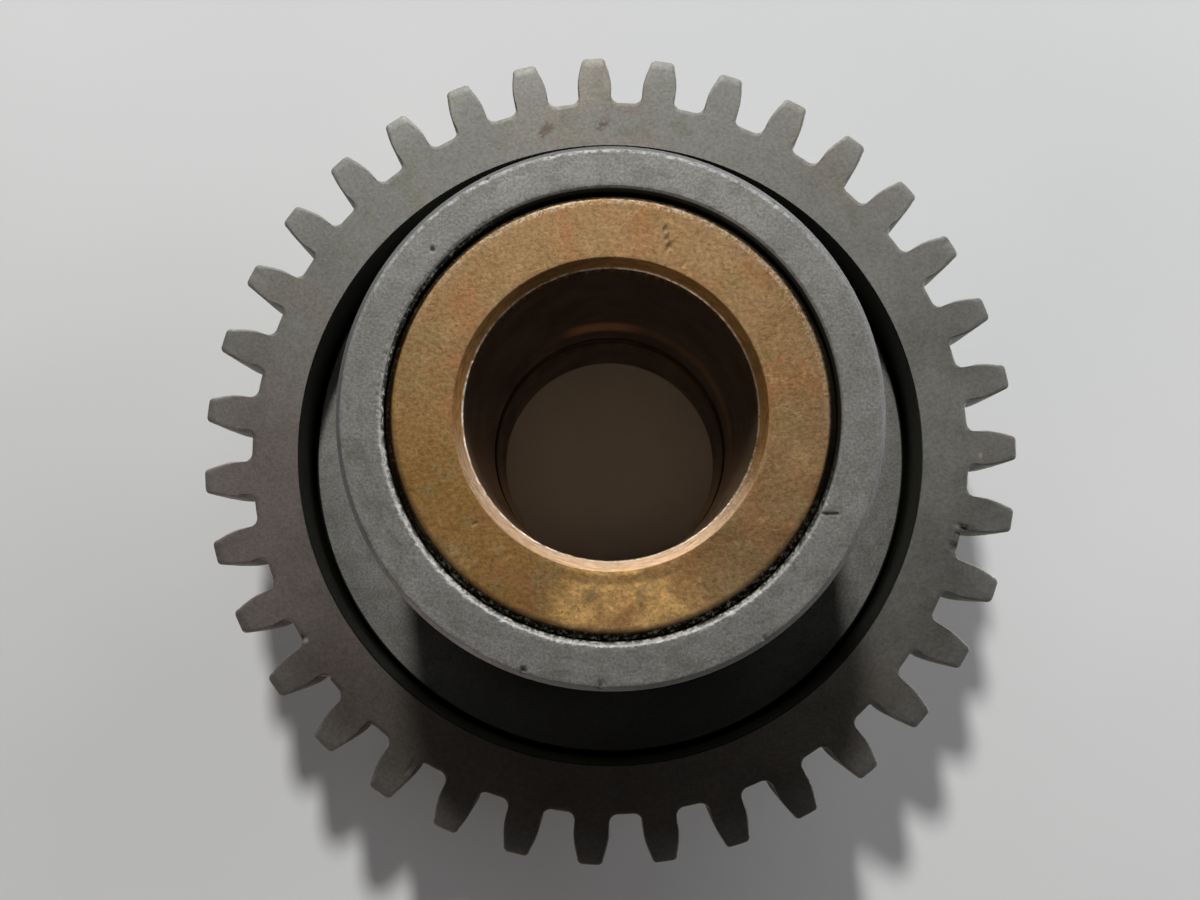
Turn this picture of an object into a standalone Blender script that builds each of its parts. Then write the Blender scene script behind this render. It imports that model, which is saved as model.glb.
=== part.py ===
"""Spur gear set: a toothed ring bolted behind to a flanged hub, which turns on two bronze bushes.

The gear's axis is Z. The origin is the centre of the hub's rear end, and +Z points to its front end.
"""

import math

import bmesh
import bpy

MM = 0.001

# Teeth: full depth, with flanks worn a little narrower than half a pitch
MODULE = 3.0 * MM
TOOTH_COUNT = 35
PITCH_RADIUS = MODULE * TOOTH_COUNT / 2
TIP_RADIUS = PITCH_RADIUS + MODULE
ROOT_RADIUS = PITCH_RADIUS - 1.17 * MODULE
FLANK_ANGLE = math.radians(11)
TOOTH_THICKNESS = 4.6 * MM
TIP_ROUNDING = 0.75 * MM
ROOT_FILLET = 1.15 * MM
FACE_WIDTH = 10 * MM

# Heights along the axis
HUB_LENGTH = 60 * MM
RING_FRONT = 26.5 * MM
FLANGE_FRONT = 19 * MM
FLANGE_REAR = 12.5 * MM
WEB_REAR = 7.5 * MM

# Radii
HUB_RADIUS = 30.25 * MM
FLANGE_RADIUS = 42 * MM
RIM_BORE_RADIUS = 42.6 * MM
RIM_RADIUS = 48 * MM
BUSH_SEAT_RADIUS = 25 * MM
LAND_RADIUS = 21 * MM
SHAFT_BORE_RADIUS = 16.25 * MM

# Fits and edges
SEAT_GAP = 0.3 * MM
RUNNING_CLEARANCE = 0.08 * MM
MOUTH_CHAMFER = 1.0 * MM
OUTER_CHAMFER = 0.8 * MM
SMALL_CHAMFER = 0.4 * MM

# Bushes, on each side of a narrow land in the hub's bore
LAND_REAR = 17.8 * MM
LAND_FRONT = 20.2 * MM
BUSH_RECESS = 0.6 * MM
BUSH_CHAMFER = 1.0 * MM
BUSH_BORE_CHAMFER = 0.9 * MM

# Hexagon bolts with spring washers, and dowels, on one circle between boss and rim
BOLT_CIRCLE_RADIUS = 36.2 * MM
BOLT_COUNT = 8
BOLT_RADIUS = 3.0 * MM
BOLT_HOLE_RADIUS = 3.3 * MM
BOLT_END = 17.2 * MM
BOLT_POINT = 0.6 * MM
HEAD_HEIGHT = 4 * MM
HEAD_ACROSS_FLATS = 10 * MM
HEAD_EDGE_CHAMFER = 0.1 * MM
HEAD_CORNER_CHAMFER = 0.6 * MM
WASHER_INNER_RADIUS = 3.3 * MM
WASHER_OUTER_RADIUS = 5.3 * MM
WASHER_THICKNESS = 1.6 * MM
WASHER_SPLIT = math.radians(14)
WASHER_TURN = math.radians(57)
DOWEL_COUNT = 2
DOWEL_RADIUS = 2.5 * MM
DOWEL_HOLE_RADIUS = 2.8 * MM
DOWEL_REAR = 7.9 * MM
DOWEL_FRONT = 17.2 * MM
BLIND_HOLE_END = 17.6 * MM
CUTTER_OVERRUN = 1 * MM

# Facets
ROUND_SEGMENTS = 60
RIM_SEGMENTS = 2 * TOOTH_COUNT
HOLE_SEGMENTS = 16
BOLT_SEGMENTS = 12
WASHER_SEGMENTS = 14
SMOOTH_ANGLE = math.radians(35)

# Base colour, roughness, metallic
MATERIALS = {
    "ring_steel": ((0.24, 0.235, 0.22), 0.55, 1.0),
    "hub_steel": ((0.33, 0.33, 0.325), 0.42, 1.0),
    "bronze": ((0.52, 0.31, 0.13), 0.4, 1.0),
    "bolt_steel": ((0.11, 0.11, 0.115), 0.45, 1.0),
    "dowel_steel": ((0.5, 0.5, 0.5), 0.25, 1.0),
}


def clear_scene():
    for item in list(bpy.data.objects):
        bpy.data.objects.remove(item, do_unlink=True)


def make_material(name):
    colour, roughness, metallic = MATERIALS[name]
    material = bpy.data.materials.new(name)
    material.use_nodes = True
    shader = material.node_tree.nodes["Principled BSDF"]
    shader.inputs["Base Color"].default_value = (*colour, 1.0)
    shader.inputs["Roughness"].default_value = roughness
    shader.inputs["Metallic"].default_value = metallic
    material.diffuse_color = (*colour, 1.0)
    return material


def make_mesh(name, vertices, faces, material):
    """A mesh whose faces point outwards, smooth between its sharp edges."""
    mesh = bpy.data.meshes.new(name)
    mesh.from_pydata(vertices, [], faces)
    shape = bmesh.new()
    shape.from_mesh(mesh)
    bmesh.ops.recalc_face_normals(shape, faces=shape.faces)
    shape.to_mesh(mesh)
    shape.free()
    mesh.materials.append(material)
    mesh.shade_smooth()
    mesh.set_sharp_from_angle(angle=SMOOTH_ANGLE)
    return mesh


def add_object(name, mesh, parent, location=(0.0, 0.0, 0.0), turn=0.0):
    item = bpy.data.objects.new(name, mesh)
    item.location = location
    item.rotation_euler.z = turn
    item.parent = parent
    bpy.context.scene.collection.objects.link(item)
    return item


def circle(radius, height, count):
    turns = [2 * math.pi * step / count for step in range(count)]
    return [(radius * math.cos(turn), radius * math.sin(turn), height) for turn in turns]


def join_loops(first, second, count):
    """Quads between two loops of the same count, given by their first vertex's number."""
    quads = []
    for step in range(count):
        after = (step + 1) % count
        quads.append((first + step, first + after, second + after, second + step))
    return quads


def turned_ring(name, profile, count, material):
    """A closed (radius, height) outline turned about Z."""
    vertices = []
    faces = []
    for radius, height in profile:
        vertices.extend(circle(radius, height, count))
    for row in range(len(profile)):
        after = (row + 1) % len(profile)
        faces.extend(join_loops(row * count, after * count, count))
    return make_mesh(name, vertices, faces, material)


def capped_stack(name, loops, material):
    """A solid through loops of the same count, closed with a flat cap at each end."""
    count = len(loops[0])
    vertices = [point for loop in loops for point in loop]
    faces = []
    for row in range(len(loops) - 1):
        faces.extend(join_loops(row * count, (row + 1) * count, count))
    faces.append(tuple(range(count)))
    faces.append(tuple(range(len(vertices) - count, len(vertices))))
    return make_mesh(name, vertices, faces, material)


def involute(angle):
    return math.tan(angle) - angle


def flank_turn(radius):
    """Half the angle that a tooth takes up at a radius. Its flanks are radial inside the base circle."""
    base_radius = PITCH_RADIUS * math.cos(FLANK_ANGLE)
    local_angle = math.acos(base_radius / max(radius, base_radius))
    return TOOTH_THICKNESS / (2 * PITCH_RADIUS) + involute(FLANK_ANGLE) - involute(local_angle)


def half_tooth():
    """(turn from the tooth's centre, radius) from the tip down to the root."""
    points = []
    corner = TIP_RADIUS - TIP_ROUNDING
    side = corner * math.sin(flank_turn(corner))
    for degrees in (90, 45):
        bend = math.radians(degrees)
        x = corner + TIP_ROUNDING * math.sin(bend)
        y = side - TIP_ROUNDING * (1 - math.cos(bend))
        points.append((math.atan2(y, x), min(math.hypot(x, y), TIP_RADIUS)))
    fillet_top = ROOT_RADIUS + ROOT_FILLET
    for part in (1.0, 0.6, 0.3, 0.0):
        radius = fillet_top + part * (corner - fillet_top)
        points.append((flank_turn(radius), radius))
    for degrees in (45, 90):
        bend = math.radians(degrees)
        turn = flank_turn(fillet_top) + ROOT_FILLET / ROOT_RADIUS * (1 - math.cos(bend))
        points.append((turn, fillet_top - ROOT_FILLET * math.sin(bend)))
    return points


def tooth_outline():
    """(turn, radius) round all the teeth. The first tooth is centred on +X."""
    half = half_tooth()
    outline = []
    for tooth in range(TOOTH_COUNT):
        centre = 2 * math.pi * tooth / TOOTH_COUNT
        outline.extend((centre - turn, radius) for turn, radius in reversed(half))
        outline.extend((centre + turn, radius) for turn, radius in half)
    return outline


def join_outline(outline, outline_start, circle_start):
    """Faces between the teeth's outline and a circle of RIM_SEGMENTS facets inside it."""
    faces = []
    spacing = 2 * math.pi / RIM_SEGMENTS
    count = len(outline)
    nearest = [round(turn / spacing) for turn, _ in outline]
    for step in range(count):
        after = (step + 1) % count
        near = circle_start + nearest[step] % RIM_SEGMENTS
        far = circle_start + nearest[after] % RIM_SEGMENTS
        face = [outline_start + step, outline_start + after, far]
        if near != far:
            face.append(near)
        faces.append(tuple(face))
    return faces


def make_toothed_ring(material):
    outline = tooth_outline()
    count = len(outline)
    teeth_rear = RING_FRONT - FACE_WIDTH
    web_front = FLANGE_REAR - SEAT_GAP
    web_bore_radius = HUB_RADIUS + SEAT_GAP
    profile = [
        (RIM_RADIUS, teeth_rear),
        (RIM_RADIUS, WEB_REAR + OUTER_CHAMFER),
        (RIM_RADIUS - OUTER_CHAMFER, WEB_REAR),
        (web_bore_radius, WEB_REAR),
        (web_bore_radius, web_front),
        (RIM_BORE_RADIUS, web_front),
        (RIM_BORE_RADIUS, RING_FRONT - SMALL_CHAMFER),
        (RIM_BORE_RADIUS + SMALL_CHAMFER, RING_FRONT),
    ]
    vertices = []
    for height in (teeth_rear, RING_FRONT):
        vertices.extend((radius * math.cos(turn), radius * math.sin(turn), height) for turn, radius in outline)
    faces = join_loops(0, count, count)
    circles_start = 2 * count
    for radius, height in profile:
        vertices.extend(circle(radius, height, RIM_SEGMENTS))
    for row in range(len(profile) - 1):
        start = circles_start + row * RIM_SEGMENTS
        faces.extend(join_loops(start, start + RIM_SEGMENTS, RIM_SEGMENTS))
    last_circle = circles_start + (len(profile) - 1) * RIM_SEGMENTS
    faces.extend(join_outline(outline, 0, circles_start))
    faces.extend(join_outline(outline, count, last_circle))
    return make_mesh("toothed_ring", vertices, faces, material)


def make_flanged_hub(material):
    mouth_radius = BUSH_SEAT_RADIUS + MOUTH_CHAMFER
    profile = [
        (BUSH_SEAT_RADIUS, MOUTH_CHAMFER),
        (mouth_radius, 0.0),
        (HUB_RADIUS - OUTER_CHAMFER, 0.0),
        (HUB_RADIUS, OUTER_CHAMFER),
        (HUB_RADIUS, FLANGE_REAR),
        (FLANGE_RADIUS - SMALL_CHAMFER, FLANGE_REAR),
        (FLANGE_RADIUS, FLANGE_REAR + SMALL_CHAMFER),
        (FLANGE_RADIUS, FLANGE_FRONT - SMALL_CHAMFER),
        (FLANGE_RADIUS - SMALL_CHAMFER, FLANGE_FRONT),
        (HUB_RADIUS + SMALL_CHAMFER, FLANGE_FRONT),
        (HUB_RADIUS, FLANGE_FRONT + SMALL_CHAMFER),
        (HUB_RADIUS, HUB_LENGTH - OUTER_CHAMFER),
        (HUB_RADIUS - OUTER_CHAMFER, HUB_LENGTH),
        (mouth_radius, HUB_LENGTH),
        (BUSH_SEAT_RADIUS, HUB_LENGTH - MOUTH_CHAMFER),
        (BUSH_SEAT_RADIUS, LAND_FRONT),
        (LAND_RADIUS, LAND_FRONT),
        (LAND_RADIUS, LAND_REAR),
        (BUSH_SEAT_RADIUS, LAND_REAR),
    ]
    return turned_ring("flanged_hub", profile, ROUND_SEGMENTS, material)


def make_bush(name, rear, front, material):
    outer = BUSH_SEAT_RADIUS - RUNNING_CLEARANCE
    profile = [
        (SHAFT_BORE_RADIUS, rear + BUSH_BORE_CHAMFER),
        (SHAFT_BORE_RADIUS + BUSH_BORE_CHAMFER, rear),
        (outer - BUSH_CHAMFER, rear),
        (outer, rear + BUSH_CHAMFER),
        (outer, front - BUSH_CHAMFER),
        (outer - BUSH_CHAMFER, front),
        (SHAFT_BORE_RADIUS + BUSH_BORE_CHAMFER, front),
        (SHAFT_BORE_RADIUS, front - BUSH_BORE_CHAMFER),
    ]
    return turned_ring(name, profile, ROUND_SEGMENTS, material)


def hexagon(height, corner_lift):
    """A hexagon in twelve points, whose corners may stand higher than the middles of its sides."""
    middle_radius = HEAD_ACROSS_FLATS / 2
    corner_radius = middle_radius / math.cos(math.pi / 6)
    points = []
    for step in range(BOLT_SEGMENTS):
        turn = 2 * math.pi * step / BOLT_SEGMENTS
        is_corner = step % 2 == 1
        radius = corner_radius if is_corner else middle_radius
        lift = corner_lift if is_corner else 0.0
        points.append((radius * math.cos(turn), radius * math.sin(turn), height + lift))
    return points


def make_bolt(material):
    """A hexagon bolt with its head towards -Z, in the heights of the whole gear."""
    head_front = WEB_REAR - 2 * SEAT_GAP - WASHER_THICKNESS
    head_rear = head_front - HEAD_HEIGHT
    loops = [
        circle(HEAD_ACROSS_FLATS / 2 - SMALL_CHAMFER, head_rear, BOLT_SEGMENTS),
        hexagon(head_rear + HEAD_EDGE_CHAMFER, HEAD_CORNER_CHAMFER),
        hexagon(head_front, 0.0),
        circle(BOLT_RADIUS, head_front, BOLT_SEGMENTS),
        circle(BOLT_RADIUS, BOLT_END - BOLT_POINT, BOLT_SEGMENTS),
        circle(BOLT_RADIUS - BOLT_POINT, BOLT_END, BOLT_SEGMENTS),
    ]
    return capped_stack("ring_bolt", loops, material)


def make_spring_washer(material):
    """A flattened spring washer: a square wire bent round, with a gap between its ends."""
    front = WEB_REAR - SEAT_GAP
    rear = front - WASHER_THICKNESS
    loops = []
    for step in range(WASHER_SEGMENTS + 1):
        turn = WASHER_SPLIT / 2 + (2 * math.pi - WASHER_SPLIT) * step / WASHER_SEGMENTS
        corners = ((WASHER_INNER_RADIUS, rear), (WASHER_OUTER_RADIUS, rear),
                   (WASHER_OUTER_RADIUS, front), (WASHER_INNER_RADIUS, front))
        loops.append([(r * math.cos(turn), r * math.sin(turn), height) for r, height in corners])
    return capped_stack("spring_washer", loops, material)


def make_dowel(material):
    loops = [
        circle(DOWEL_RADIUS - SMALL_CHAMFER, DOWEL_REAR, HOLE_SEGMENTS),
        circle(DOWEL_RADIUS, DOWEL_REAR + SMALL_CHAMFER, HOLE_SEGMENTS),
        circle(DOWEL_RADIUS, DOWEL_FRONT - SMALL_CHAMFER, HOLE_SEGMENTS),
        circle(DOWEL_RADIUS - SMALL_CHAMFER, DOWEL_FRONT, HOLE_SEGMENTS),
    ]
    return capped_stack("dowel", loops, material)


def places_on_circle(count, start):
    """(location, turn) of each fastener on the bolt circle."""
    places = []
    for step in range(count):
        turn = start + 2 * math.pi * step / count
        spot = (BOLT_CIRCLE_RADIUS * math.cos(turn), BOLT_CIRCLE_RADIUS * math.sin(turn), 0.0)
        places.append((spot, turn))
    return places


def make_hole_cutter(name, radius, places, parent, material):
    """Blind holes through the web and into the flange from behind, as one cutter."""
    vertices = []
    faces = []
    for (x, y, _), _ in places:
        start = len(vertices)
        for height in (WEB_REAR - CUTTER_OVERRUN, BLIND_HOLE_END):
            ring = circle(radius, height, HOLE_SEGMENTS)
            vertices.extend((x + dx, y + dy, z) for dx, dy, z in ring)
        faces.extend(join_loops(start, start + HOLE_SEGMENTS, HOLE_SEGMENTS))
        faces.append(tuple(range(start, start + HOLE_SEGMENTS)))
        faces.append(tuple(range(start + HOLE_SEGMENTS, start + 2 * HOLE_SEGMENTS)))
    cutter = add_object(name, make_mesh(name, vertices, faces, material), parent)
    cutter.hide_render = True
    cutter.display_type = "WIRE"
    return cutter


def cut_holes(item, cutters):
    for cutter in cutters:
        modifier = item.modifiers.new(cutter.name, "BOOLEAN")
        modifier.operation = "DIFFERENCE"
        modifier.solver = "EXACT"
        modifier.object = cutter


def build():
    clear_scene()
    materials = {name: make_material(name) for name in MATERIALS}
    gear_axis = add_object("gear_axis", None, None)
    bush_axis = add_object("bush_axis", None, None)

    ring = add_object("toothed_ring", make_toothed_ring(materials["ring_steel"]), gear_axis)
    hub = add_object("flanged_hub", make_flanged_hub(materials["hub_steel"]), gear_axis)

    bolt_places = places_on_circle(BOLT_COUNT, math.pi / BOLT_COUNT)
    dowel_places = places_on_circle(DOWEL_COUNT, 0.0)
    cutters = [
        make_hole_cutter("bolt_hole_cutter", BOLT_HOLE_RADIUS, bolt_places, gear_axis, materials["ring_steel"]),
        make_hole_cutter("dowel_hole_cutter", DOWEL_HOLE_RADIUS, dowel_places, gear_axis, materials["ring_steel"]),
    ]
    cut_holes(ring, cutters)
    cut_holes(hub, cutters)

    bolt = make_bolt(materials["bolt_steel"])
    washer = make_spring_washer(materials["bolt_steel"])
    for number, (spot, turn) in enumerate(bolt_places, start=1):
        add_object(f"ring_bolt_{number}", bolt, gear_axis, spot, turn)
        add_object(f"spring_washer_{number}", washer, gear_axis, spot, turn + number * WASHER_TURN)
    dowel = make_dowel(materials["dowel_steel"])
    for number, (spot, turn) in enumerate(dowel_places, start=1):
        add_object(f"dowel_pin_{number}", dowel, gear_axis, spot, turn)

    front_bush = make_bush("front_bush", LAND_FRONT + SEAT_GAP, HUB_LENGTH - BUSH_RECESS, materials["bronze"])
    rear_bush = make_bush("rear_bush", BUSH_RECESS, LAND_REAR - SEAT_GAP, materials["bronze"])
    add_object("front_bush", front_bush, bush_axis)
    add_object("rear_bush", rear_bush, bush_axis)


build()
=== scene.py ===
"""Looks of the bushed spur gear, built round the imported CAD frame. Lengths are in metres."""

import math

import bmesh
import bpy
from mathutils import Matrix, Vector, noise


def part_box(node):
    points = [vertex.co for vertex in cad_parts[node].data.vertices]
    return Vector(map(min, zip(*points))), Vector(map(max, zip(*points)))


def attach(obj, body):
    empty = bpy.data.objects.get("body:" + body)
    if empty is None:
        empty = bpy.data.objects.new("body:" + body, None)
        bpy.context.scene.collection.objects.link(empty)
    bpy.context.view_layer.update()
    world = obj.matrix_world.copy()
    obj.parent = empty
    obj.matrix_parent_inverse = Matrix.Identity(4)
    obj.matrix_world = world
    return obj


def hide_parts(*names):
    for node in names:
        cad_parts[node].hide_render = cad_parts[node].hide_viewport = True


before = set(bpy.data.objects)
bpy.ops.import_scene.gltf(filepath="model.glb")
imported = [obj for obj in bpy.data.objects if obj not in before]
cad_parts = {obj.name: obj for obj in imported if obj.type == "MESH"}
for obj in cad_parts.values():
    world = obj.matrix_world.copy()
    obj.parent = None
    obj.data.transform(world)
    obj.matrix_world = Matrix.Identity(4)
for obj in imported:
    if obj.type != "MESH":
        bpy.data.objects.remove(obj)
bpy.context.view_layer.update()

MM = 0.001

# Sizes read from the frame
RING_LOW, RING_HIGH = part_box("toothed_ring")
HUB_LOW, HUB_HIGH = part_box("flanged_hub")
FRONT_BUSH_LOW, FRONT_BUSH_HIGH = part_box("front_bush")
REAR_BUSH_LOW, REAR_BUSH_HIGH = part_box("rear_bush")
TIP_RADIUS = 55.5 * MM
RING_FRONT = RING_HIGH[2]
WEB_REAR = RING_LOW[2]
HUB_FRONT = HUB_HIGH[2]
HUB_REAR = HUB_LOW[2]
FLANGE_RADIUS = HUB_HIGH[0]
BUSH_RADIUS = FRONT_BUSH_HIGH[0]

# Teeth
TOOTH_COUNT = 35
MODULE = 3 * MM
PITCH_RADIUS = TIP_RADIUS - MODULE
ROOT_RADIUS = PITCH_RADIUS - 1.17 * MODULE
FLANK_ANGLE = math.radians(11)
TOOTH_THICKNESS = 4.6 * MM
TIP_ROUNDING = 0.75 * MM
ROOT_FILLET = 1.15 * MM
TEETH_REAR = RING_FRONT - 10 * MM

# Other sizes of the steel pieces and bushes
RIM_RADIUS = 48 * MM
RIM_BORE_RADIUS = 42.6 * MM
WEB_FRONT = 12.2 * MM
HUB_RADIUS = 30.25 * MM
FLANGE_FRONT = 19 * MM
FLANGE_REAR = 12.5 * MM
SEAT_RADIUS = 25 * MM
LAND_RADIUS = 21 * MM
LAND_REAR = 17.8 * MM
LAND_FRONT = 20.2 * MM
SHAFT_BORE_RADIUS = 16.25 * MM
MOUTH_CHAMFER = 0.5 * MM
OUTER_CHAMFER = 0.8 * MM
FRONT_CHAMFER = 0.5 * MM
BORE_CHAMFER_WIDTH = 1.2 * MM
BORE_CHAMFER_DEPTH = 0.7 * MM
JOINT_CHAMFER = 0.5 * MM

# Fasteners
BOLT_COUNT = 8
DOWEL_COUNT = 2
BOLT_RADIUS = 3 * MM
BOLT_HEAD_HEIGHT = 4 * MM
BOLT_HEAD_ACROSS = 10 * MM
THREAD_PITCH = 1 * MM
BOLT_CIRCLE_RADIUS = 36.2 * MM
BOLT_HOLE_RADIUS = 3.3 * MM
BLIND_HOLE_END = 17.6 * MM
DOWEL_RADIUS = 2.5 * MM
DOWEL_HOLE_RADIUS = 2.8 * MM
WASHER_INNER_RADIUS = 3.3 * MM
WASHER_OUTER_RADIUS = 5.3 * MM

SHARP_DEGREES = 40
FASTENER_SHARP_DEGREES = 30


# ---------------- meshes

def finish_mesh(name, vertices, faces, sharp_degrees=SHARP_DEGREES):
    mesh = bpy.data.meshes.new(name)
    mesh.from_pydata(vertices, [], faces)
    shape = bmesh.new()
    shape.from_mesh(mesh)
    bmesh.ops.recalc_face_normals(shape, faces=shape.faces)
    shape.to_mesh(mesh)
    shape.free()
    mesh.shade_smooth()
    mesh.set_sharp_from_angle(angle=math.radians(sharp_degrees))
    return mesh


def add_piece(mesh, material, body, node):
    """A visible piece, named after the CAD node that it stands for, which rides on the node's body."""
    mesh.materials.clear()
    mesh.materials.append(material)
    piece = bpy.data.objects.new(f"{node}_finish", mesh)
    bpy.context.scene.collection.objects.link(piece)
    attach(piece, body)
    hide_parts(node)
    return piece


def round_corners(corners, steps=4):
    """A closed outline of (radius, height) points from (radius, height, rounding) corners."""
    outline = []
    count = len(corners)
    for index, (radius, height, rounding) in enumerate(corners):
        here = Vector((radius, height))
        before = Vector(corners[index - 1][:2]) - here
        after = Vector(corners[(index + 1) % count][:2]) - here
        opening = before.angle(after)
        reach = rounding / math.tan(opening / 2) if rounding else 0.0
        reach = min(reach, 0.45 * before.length, 0.45 * after.length)
        if reach <= 0:
            outline.append(here)
            continue
        start = here + before.normalized() * reach
        end = here + after.normalized() * reach
        for step in range(steps + 1):
            share = step / steps
            rest = 1 - share
            outline.append(start * rest ** 2 + here * 2 * share * rest + end * share ** 2)
    return [(point.x, point.y) for point in outline]


def divide_outline(outline, fine_height, fine, coarse):
    """The same closed outline with its stretches divided evenly, finely above fine_height."""
    divided = []
    count = len(outline)
    for index, point in enumerate(outline):
        start = Vector(point)
        stretch = Vector(outline[(index + 1) % count]) - start
        longest = fine if min(start.y, start.y + stretch.y) > fine_height else coarse
        parts = max(1, math.ceil(stretch.length / longest))
        divided.extend(tuple(start + stretch * part / parts) for part in range(parts))
    return divided


def join_loops(first, second, count):
    quads = []
    for step in range(count):
        after = (step + 1) % count
        quads.append((first + step, first + after, second + after, second + step))
    return quads


def turned_mesh(name, outline, count, shift=None):
    """A closed outline turned about Z. shift moves each point by a given unevenness."""
    vertices = []
    faces = []
    for radius, height in outline:
        for step in range(count):
            turn = 2 * math.pi * step / count
            point = Vector((radius * math.cos(turn), radius * math.sin(turn), height))
            vertices.append(shift(point, radius, turn) if shift else point)
    for row in range(len(outline)):
        after = (row + 1) % len(outline)
        faces.extend(join_loops(row * count, after * count, count))
    return finish_mesh(name, vertices, faces)


DRILL_SEGMENTS = 40


def drill(mesh, radius, places, rear, end):
    """Cuts round blind holes along Z into a mesh, from behind."""
    cutter_mesh = bpy.data.meshes.new("drill")
    shape = bmesh.new()
    for x, y in places:
        made = bmesh.ops.create_cone(shape, cap_ends=True, segments=DRILL_SEGMENTS, radius1=radius,
                                     radius2=radius, depth=end - rear)
        bmesh.ops.translate(shape, verts=made["verts"], vec=(x, y, (rear + end) / 2))
    shape.to_mesh(cutter_mesh)
    shape.free()
    cutter = bpy.data.objects.new("drill", cutter_mesh)
    body = bpy.data.objects.new("drilled", mesh)
    for item in (cutter, body):
        bpy.context.scene.collection.objects.link(item)
    cut = body.modifiers.new("holes", "BOOLEAN")
    cut.operation = "DIFFERENCE"
    cut.solver = "EXACT"
    cut.object = cutter
    bpy.context.view_layer.update()
    graph = bpy.context.evaluated_depsgraph_get()
    drilled = bpy.data.meshes.new_from_object(body.evaluated_get(graph))
    drilled.name = mesh.name
    for item in (cutter, body):
        bpy.data.objects.remove(item)
    drilled.shade_smooth()
    drilled.set_sharp_from_angle(angle=math.radians(SHARP_DEGREES))
    return drilled


def dent(point, centre, reach, depth):
    """How far a point sinks into a soft round dent of a given depth at its centre."""
    distance = (point - centre).length / reach
    return depth * math.exp(-distance * distance * 2)


def polar(radius, degrees, height):
    turn = math.radians(degrees)
    return Vector((radius * math.cos(turn), radius * math.sin(turn), height))


def sink(point, marks, height):
    """How far all the dents of a list in the face at a height sink a point."""
    depth = 0.0
    for radius, degrees, size, deepest in marks:
        depth += dent(point, polar(radius * MM, degrees, height), size * MM, deepest * MM)
    return depth


# ---------------- toothed ring

TIP_STEPS = 6
FLANK_STEPS = 8
FILLET_STEPS = 6
EDGE_BREAK = 0.15 * MM
EDGE_STEPS = 3
FACE_ROWS = 11
WIDTH_ROWS = 4


def involute(angle):
    return math.tan(angle) - angle


def flank_turn(radius):
    base_radius = PITCH_RADIUS * math.cos(FLANK_ANGLE)
    local_angle = math.acos(base_radius / max(radius, base_radius))
    return TOOTH_THICKNESS / (2 * PITCH_RADIUS) + involute(FLANK_ANGLE) - involute(local_angle)


def half_tooth():
    """(turn, radius) from the middle of the tip to the middle of the root."""
    corner = TIP_RADIUS - TIP_ROUNDING
    side = corner * math.sin(flank_turn(corner))
    tip_side = side - TIP_ROUNDING
    points = [(tip_side * share / TIP_RADIUS, TIP_RADIUS) for share in (0.0, 0.5)]
    for step in range(TIP_STEPS):
        bend = math.pi / 2 * (1 - step / TIP_STEPS)
        x = corner + TIP_ROUNDING * math.sin(bend)
        y = tip_side + TIP_ROUNDING * math.cos(bend)
        points.append((math.atan2(y, x), min(math.hypot(x, y), TIP_RADIUS)))
    fillet_top = ROOT_RADIUS + ROOT_FILLET
    for step in range(FLANK_STEPS + 1):
        radius = corner + (fillet_top - corner) * step / FLANK_STEPS
        points.append((flank_turn(radius), radius))
    for step in range(1, FILLET_STEPS + 1):
        bend = math.pi / 2 * step / FILLET_STEPS
        turn = flank_turn(fillet_top) + ROOT_FILLET / ROOT_RADIUS * (1 - math.cos(bend))
        points.append((turn, fillet_top - ROOT_FILLET * math.sin(bend)))
    last_turn = points[-1][0]
    half_pitch = math.pi / TOOTH_COUNT
    points.append(((last_turn + half_pitch) / 2, ROOT_RADIUS))
    return points


def tooth_outline():
    """Flat points round all the teeth, anticlockwise, from the root before the tooth on +X."""
    half = half_tooth()
    outline = []
    for tooth in range(TOOTH_COUNT):
        centre = 2 * math.pi * tooth / TOOTH_COUNT
        outline.append((centre - math.pi / TOOTH_COUNT, ROOT_RADIUS))
        outline.extend((centre - turn, radius) for turn, radius in reversed(half[1:]))
        outline.extend((centre + turn, radius) for turn, radius in half)
    return [Vector((radius * math.cos(turn), radius * math.sin(turn))) for turn, radius in outline]


def inset(outline, distance):
    """The outline moved inwards, square to itself."""
    moved = []
    count = len(outline)
    for index, point in enumerate(outline):
        along = (outline[(index + 1) % count] - outline[index - 1]).normalized()
        outward = Vector((along.y, -along.x))
        moved.append(point - outward * distance)
    return moved


# Dents in the front edges of the teeth: (radius, degrees, size, depth) in millimetres
TOOTH_MARKS = (
    (49.4, -12.9, 0.55, 0.28), (48.7, -14.0, 0.45, 0.2), (48.5, -16.1, 0.55, 0.26),
    (48.9, -147.6, 0.45, 0.2), (49.5, -130.4, 0.5, 0.2), (50.2, -121.6, 0.5, 0.2),
    (54.9, 31.5, 0.5, 0.25), (54.6, 154.0, 0.5, 0.2),
)
RING_WEAR_DEPTH = 1 * MM
UNEVEN_EDGE = 0.05 * MM
UNEVEN_EDGE_SCALE = 700


def tooth_wear(point):
    """A few dents in the front of the ring, and slightly uneven edges just below it."""
    worn = point.copy()
    if point.z < RING_FRONT - RING_WEAR_DEPTH:
        return worn
    worn.z -= sink(point, TOOTH_MARKS, RING_FRONT)
    if point.z < RING_FRONT:
        worn.z -= UNEVEN_EDGE * abs(noise.noise(point * UNEVEN_EDGE_SCALE))
    return worn


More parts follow.
